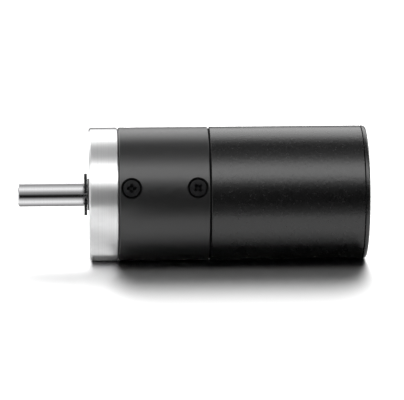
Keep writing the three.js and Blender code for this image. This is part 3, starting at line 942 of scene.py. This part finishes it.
def add_tie_bolts():
    shank_r = 1.5
    head_r = 2.75
    head_end = 93.2
    corners = [
        (41.5, 0),
        (41.5, 1.1),
        *threaded(41.7, 46, shank_r, pitch=0.5, depth=0.27),
        (46, shank_r),
        (91, shank_r),
        (91, head_r, 0.1),
        (92.6, head_r, 0.5),
        (head_end, 1.9, 0.3),
        (head_end, 0),
    ]
    for i, angle in enumerate(TIE_BOLT_ANGLES):
        piece = made_object("tie_bolt", lathe(corners, 48))
        tool = cross_recess(reach=1.5, half_width=0.4, depth=1.3)
        moved(tool, Matrix.Translation((head_end, 0, 0)))
        stand_for(f"tie_bolt_{i + 1}", cut(piece, [tool]), beside(TIE_BOLT_CIRCLE_R, angle))


def add_rotor():
    front, step, back = 26.7, 36, 91.9
    shaft = [(front, 0), (front, 2, 0.2), (step, 2), (step, 2.5, 0.15), (back, 2.5, 0.3), (back, 0)]
    core = plate(core_outline(), *CORE, 0.1, [circle(ROTOR_BORE_R, 48)])
    add("rotor_shaft", lathe(shaft, 64))
    add("armature_core", core, smooth_below=20)
    add("armature_winding", winding_wires())
    add("commutator", commutator_bars())


def core_outline():
    """The laminated core: poles with wide shoes on a hub."""
    hub_r, stem_half, shoe_inner_r = 6, 1.6, 12.6
    waist_half = stem_half * 0.85
    flare = 0.9
    shoe_half = pi / POLES - asin(1 / CORE_R)
    foot = sqrt(hub_r**2 - stem_half**2)
    shoe = arc(CORE_R, -shoe_half, shoe_half, 10)
    outline = []
    for angle in evenly(POLES):
        pole = [
            Vector((foot, -stem_half)),
            Vector((foot + flare, -waist_half)),
            Vector((shoe_inner_r - flare, -waist_half)),
            polar(shoe_inner_r, -shoe_half * 0.96),
            *shoe,
            polar(shoe_inner_r, shoe_half * 0.96),
            Vector((shoe_inner_r - flare, waist_half)),
            Vector((foot + flare, waist_half)),
            Vector((foot, stem_half)),
        ]
        turn = Matrix.Rotation(angle, 2)
        outline += [turn @ point for point in pole]
    return outline


def wire_loop(radius, bulge, first, second):
    """A turn of wire along two slots, which bulges out and sags inwards at each end of the core."""
    steps = 12
    gap = 0.25
    sag = 0.16
    path = []
    for face, away, start, end in ((CORE[0], -1, second, first), (CORE[1], 1, first, second)):
        for i in range(steps + 1):
            t = i / steps
            arch = sin(pi * t)
            x = face + away * (gap + bulge * arch**0.5)
            at = polar(radius * (1 - sag * arch), start + (end - start) * t)
            path.append(Vector((x, *at)))
    return path


def winding_wires():
    """Lap-wound coils in four layers of three wires, each coil in two slots."""
    bm = bmesh.new()
    wire_r = 0.42
    slots_apart = 3
    for coil, first in enumerate(evenly(POLES, pi / POLES)):
        second = first + slots_apart * tau / POLES
        for layer, radius in enumerate((8.3, 9.3, 10.3, 11.2)):
            spread = 0.055 * (radius - 7) / 4
            for lane in (-1, 0, 1):
                bulge = 0.7 + 0.85 * layer + 0.25 * ((coil + lane) % 3)
                shift = lane * spread
                path = wire_loop(radius, bulge, first + shift, second - shift)
                sweep(path, wire_r, sides=6, closed=True, bm=bm)
    return bm


def commutator_bars():
    """Copper bars round the shaft, each with a hook at the winding's end."""
    start, end = COMMUTATOR
    slot_half = 0.22
    floor_r = COMMUTATOR_R - 0.7
    half_bar = pi / POLES
    outline = []
    for angle in evenly(POLES):
        edge = slot_half / COMMUTATOR_R
        outline.append(polar(floor_r, angle - half_bar + slot_half / floor_r))
        outline += arc(COMMUTATOR_R, angle - half_bar + edge, angle + half_bar - edge, 8)
        outline.append(polar(floor_r, angle + half_bar - slot_half / floor_r))
    bm = plate(outline, start, end, 0.08, [circle(ROTOR_BORE_R, 48)])
    hook = [(start + 0.8, 4.9), (start + 0.6, 5.5), (start + 1.0, 5.85), (start + 1.6, 5.6)]
    hook_r = 0.3
    for angle in evenly(POLES):
        sweep([Vector((x, *polar(radius, angle))) for x, radius in hook], hook_r, bm=bm)
    return bm


# ---------------------------------------------------------------- brush gear


def brush_holder():
    """An end plate with two boxes, each open towards the commutator."""
    start, end = 86.4, 87.8
    holes = [circle(6, 64)]
    holes += [circle(1.9, 32, polar(TIE_BOLT_CIRCLE_R, angle)) for angle in TIE_BOLT_ANGLES]
    holder = plate(circle(19.5, 160), start, end, 0.2, holes)
    front, back = 79.2, start + 0.2
    inner_half, outer_half = 1.9, 2.9
    mouth, top = 6.3, 17
    walls = [
        ((front, 80.1), (-outer_half, outer_half), (mouth, top)),
        ((84.9, back), (-outer_half, outer_half), (mouth, top)),
        ((front, back), (-outer_half, -inner_half), (mouth, top)),
        ((front, back), (inner_half, outer_half), (mouth, top)),
        ((front, back), (-outer_half, outer_half), (16.2, top)),
    ]
    for side in (-1, 1):
        for x, y, heights in walls:
            block(x, y, sorted(side * height for height in heights), holder)
    return holder


def brush_spring():
    """A coil of wire between a brush and its box's far wall."""
    turns, steps = 4, 20
    middle, radius = 82.5, 1.25
    bottom, height = 11.75, 4.05
    wire_r = 0.25
    coil = []
    for i in range(turns * steps + 1):
        at = polar(radius, tau * i / steps)
        coil.append(Vector((middle + at.x, at.y, bottom + height * i / (turns * steps))))
    return sweep(coil, wire_r)


def add_brush_gear():
    add("brush_holder", brush_holder())
    for name, turn in (("upper", 0), ("lower", pi)):
        place = Matrix.Rotation(turn, 4, "X")
        add(f"brush_{name}", block((80.3, 84.7), (-1.7, 1.7), (5.35, 11.3)), place)
        add(f"brush_spring_{name}", brush_spring(), place)


# ---------------------------------------------------------------- building the object

add_front_flange()
add_gearbox_housing()
add_radial_screws()
add_output_shaft()
add_retaining_ring()
add_output_bearings()
add_gear_train()
add_motor_front_bell()
add_motor_shell()
add_bearing("motor_bearing", MOTOR_BEARING_START, ROTOR_BORE_R, outer_r=7)
add_rear_cap()
add_lead_grommet()
add_tie_bolts()
add_rotor()
add_brush_gear()

# ---------------------------------------------------------------- table, lights and camera

# Lengths from here on are metres, apart from those of the sleeve, which is made as pieces are.
TABLE_Z = -BODY_R * MM
TABLE_COLOR = (0.86, 0.86, 0.86)

# How bright the studio is, by angle about the X axis: 0 is level towards the camera, 90 straight up
# and 180 level towards the back. A dark front, a softbox at 45, a dark top and a lit backdrop.
STUDIO = [
    (-165, 0.3),
    (-120, 1.0),
    (-40, 0.85),
    (-28, 0.42),
    (-18, 0.15),
    (-10, 0.04),
    (0, 0.03),
    (15, 0.06),
    (22, 0.2),
    (29, 1.2),
    (35, 2.7),
    (46, 3.0),
    (56, 2.5),
    (65, 1.0),
    (75, 0.35),
    (95, 0.15),
    (104, 0.2),
    (113, 0.8),
    (122, 2.0),
    (134, 2.2),
    (148, 2.0),
    (157, 1.5),
    (164, 0.5),
    (172, 0.1),
]
# Light from the left, by the X of a direction.
LEFT_LIGHT = [(-1, 1.3), (-0.94, 0.5), (-0.8, 0.1), (-0.66, 0.8), (-0.5, 1.7), (-0.3, 0)]
# The light of a sleeve round the front of the shaft, by angle as in the studio.
SLEEVE = [
    (-116, 0.27),
    (-102, 0.28),
    (-85, 0.455),
    (-71, 0.74),
    (-60, 1.07),
    (-50, 1.15),
    (-40, 0.92),
    (-31, 0.596),
    (-23, 0.4),
    (-15, 0.093),
    (-7, 0.008),
    (1, 0.008),
    (8, 0.085),
    (16, 0.285),
    (24, 0.32),
    (31, 0.5),
    (40, 0.775),
    (48, 1.11),
    (57, 1.19),
    (66, 0.97),
    (77, 0.66),
    (88, 0.46),
    (102, 0.41),
    (118, 0.4),
]


def add_stage(name, corners, faces, look):
    mesh = bpy.data.meshes.new(name)
    mesh.from_pydata([(x, y, TABLE_Z) for x, y in corners], [], faces)
    mesh.materials.append(look.material)
    stage = bpy.data.objects.new(name, mesh)
    bpy.context.scene.collection.objects.link(stage)
    return stage


def add_table():
    """A white table with a sheen. Reflections show only the part near the motor."""
    look = Shading("table_white", TABLE_COLOR, 0.0, 0.5)
    facing = look.node("ShaderNodeLayerWeight").outputs["Facing"]
    share = look.between(facing, 0.0, 1.0, 0.6, 0.85)
    matt = look.node("ShaderNodeBsdfDiffuse", {"Color": (*TABLE_COLOR, 1)}).outputs[0]
    gloss = {"Color": (1.25, 1.25, 1.25, 1), "Roughness": 0.5}
    sheen = look.node("ShaderNodeBsdfAnisotropic", gloss, distribution="BECKMANN").outputs[0]
    look.show(look.node("ShaderNodeMixShader", {0: share, 1: matt, 2: sheen}).outputs[0])
    xs = (-8, -0.25, 0.01, 0.35, 8)
    ys = (-8, -0.1, -0.05, 0.08, 8)
    corners = [(x, y) for x in xs for y in ys]
    cells = {}
    for i in range(len(xs) - 1):
        for j in range(len(ys) - 1):
            left, right = len(ys) * i + j, len(ys) * (i + 1) + j
            cells[i, j] = (left, right, right + 1, left + 1)
    near = [cells.pop(column_and_row) for column_and_row in ((1, 1), (1, 2), (2, 2))]
    add_stage("table_near", corners, near, look)
    add_stage("table_rest", corners, list(cells.values()), look).visible_glossy = False


def aimed(obj, place, target, roll=0.0):
    direction = Vector(target) - Vector(place)
    turn = direction.to_track_quat("-Z", "Y").to_matrix().to_4x4()
    obj.matrix_world = Matrix.Translation(place) @ turn @ Matrix.Rotation(roll, 4, "Z")


def add_sun():
    """A large soft light from above, which only lights matt surfaces."""
    data = bpy.data.lights.new("top_light", "SUN")
    data.energy = 3.9
    data.angle = radians(40)
    light = bpy.data.objects.new("top_light", data)
    bpy.context.scene.collection.objects.link(light)
    light.visible_glossy = False
    light.visible_camera = False
    aimed(light, (0, -0.09, 1), (0, 0, 0))


def add_camera():
    """A long lens, which looks down a little at the middle of the motor."""
    elevation = radians(7.8)
    distance = 1.0465
    target = (0.0382, 0, -0.00227)
    roll = radians(-0.23)
    data = bpy.data.cameras.new("camera")
    data.lens = 276
    data.clip_end = 20
    camera = bpy.data.objects.new("camera", data)
    bpy.context.scene.collection.objects.link(camera)
    place = (-0.003, -distance * cos(elevation), distance * sin(elevation))
    aimed(camera, place, target, roll)
    bpy.context.scene.camera = camera


def add_world():
    """The studio's strips, which fade towards its far left end, and the light from the left."""
    world = bpy.data.worlds.new("studio")
    world.use_nodes = True
    world.cycles_visibility.diffuse = False
    nodes = Nodes(world.node_tree)
    way = nodes.node("ShaderNodeTexCoord").outputs["Generated"]
    across = nodes.parts(way)["X"]
    color, brightest = nodes.strips(way, STUDIO)
    dim_from, lit_from = -0.9, -0.6
    strength = nodes.between(across, 0.1 * brightest, brightest, dim_from, lit_from)
    lean = nodes.between(across, 0, 1, -1, 0)
    left_color, left_strength = nodes.greys(lean, [(1 + x, level) for x, level in LEFT_LIGHT])
    studio = nodes.tree.nodes["Background"]
    nodes.tree.links.new(color, studio.inputs["Color"])
    nodes.tree.links.new(strength, studio.inputs["Strength"])
    left = nodes.node("ShaderNodeBackground", {"Color": left_color, "Strength": left_strength})
    both = nodes.node("ShaderNodeAddShader", {0: studio.outputs[0], 1: left.outputs[0]})
    nodes.show(both.outputs[0], "World Output")
    bpy.context.scene.world = world


def glow_on_one_side(look, color, strength, on_front):
    """Makes a look glow on its front or its back, and be clear on the other side."""
    glow = look.node("ShaderNodeEmission", {"Color": color, "Strength": strength}).outputs[0]
    clear = look.node("ShaderNodeBsdfTransparent").outputs[0]
    back = look.node("ShaderNodeNewGeometry").outputs["Backfacing"]
    front_side, back_side = (glow, clear) if on_front else (clear, glow)
    look.show(look.node("ShaderNodeMixShader", {0: back, 1: front_side, 2: back_side}).outputs[0])


def show_in_reflections_only(obj):
    obj.visible_camera = False
    obj.visible_diffuse = False
    obj.visible_shadow = False


def add_sleeve():
    """A lit sleeve round the front of the shaft. Only reflections see it, and only from within."""
    radius = 10
    start, end = -32, -0.1
    steps = 64
    first, last = radians(SLEEVE[0][0]), radians(SLEEVE[-1][0])
    bm = bmesh.new()
    across = arc(radius, first, last, steps)
    front, back = ([bm.verts.new((x, -p.x, p.y)) for p in across] for x in (start, end))
    for i in range(steps):
        bm.faces.new([front[i], front[i + 1], back[i + 1], back[i]])
    sleeve = made_object("shaft_sleeve", bm)
    look = Shading("sleeve", (0, 0, 0), 0.0, 1.0)
    color, brightest = look.strips(look.place(), SLEEVE)
    glow_on_one_side(look, color, brightest, on_front=False)
    sleeve.data.materials.append(look.material)
    show_in_reflections_only(sleeve)


def add_floor_card():
    """A card that glows white just over the table under the flange. Only reflections see it."""
    left, right = -0.04, 0.0085
    near, far = -0.032, -0.0098
    lift = 0.0002
    corners = [(left, near), (right, near), (right, far), (left, far)]
    look = Shading("card", (0, 0, 0), 0.0, 1.0)
    # The glow paints a bright reflection on the flange's underside.
    glow_on_one_side(look, (1, 1, 1, 1), 0.85, on_front=True)
    card = add_stage("floor_card", corners, [range(4)], look)
    card.location.z = lift
    show_in_reflections_only(card)


add_table()
add_floor_card()
add_sun()
add_world()
add_sleeve()
add_camera()
bpy.context.scene.view_settings.view_transform = "Standard"
